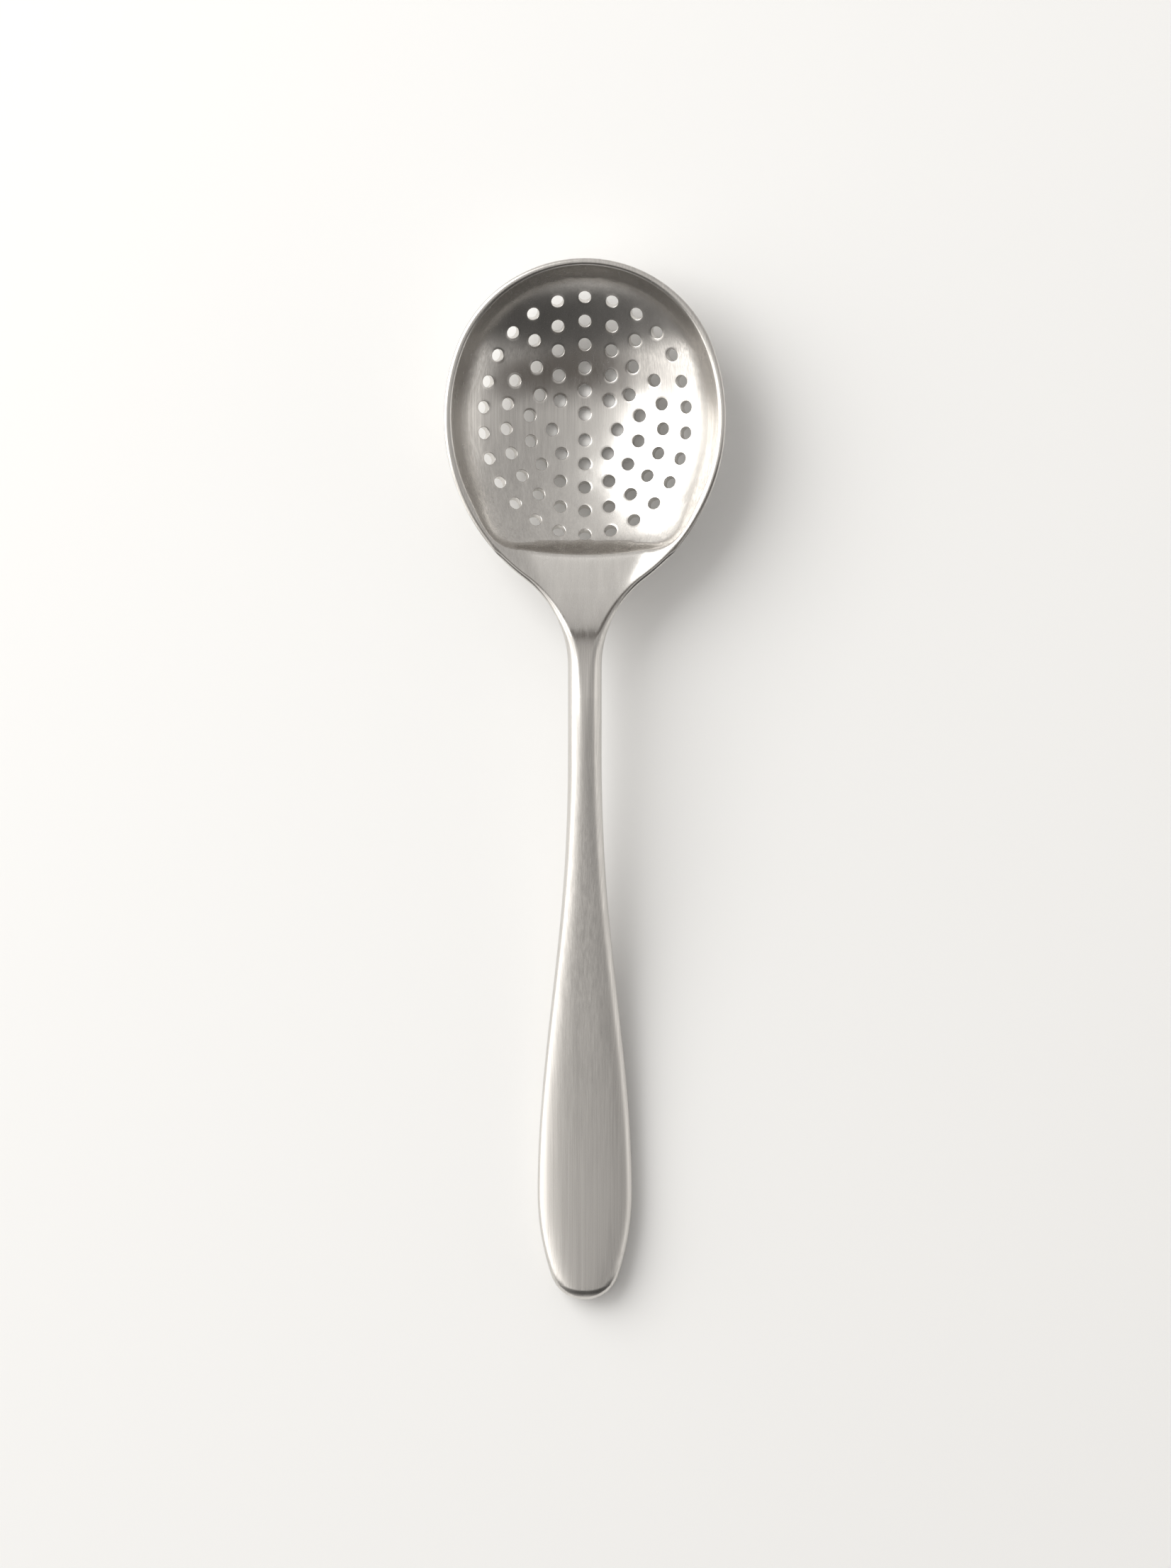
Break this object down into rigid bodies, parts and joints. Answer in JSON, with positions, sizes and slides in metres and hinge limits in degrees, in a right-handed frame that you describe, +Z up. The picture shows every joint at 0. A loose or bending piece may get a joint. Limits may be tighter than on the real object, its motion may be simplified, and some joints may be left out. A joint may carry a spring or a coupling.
{
  "type": "perforated serving spoon",
  "caption": "Serving spoon with a round perforated bowl for lifting and draining food, a narrow round stem and a hollow paddle handle, in brushed stainless steel.",
  "frame": {"origin": "on the table under the middle of the spoon's length", "axes": "+Y from the handle to the tip of the bowl, +Z up out of the bowl, +X to the right seen from above"},
  "size_m": [0.0672, 0.25, 0.0192],
  "materials": {
    "brushed_head": "fine lengthwise brushing, polished rim",
    "brushed_handle": "lengthwise brushing with slight streaky wear"
  },
  "bodies": {
    "root": {"perforated_head": "brushed_head", "handle_upper_shell": "brushed_handle", "handle_lower_shell": "brushed_handle"}
  },
  "joints": []
}
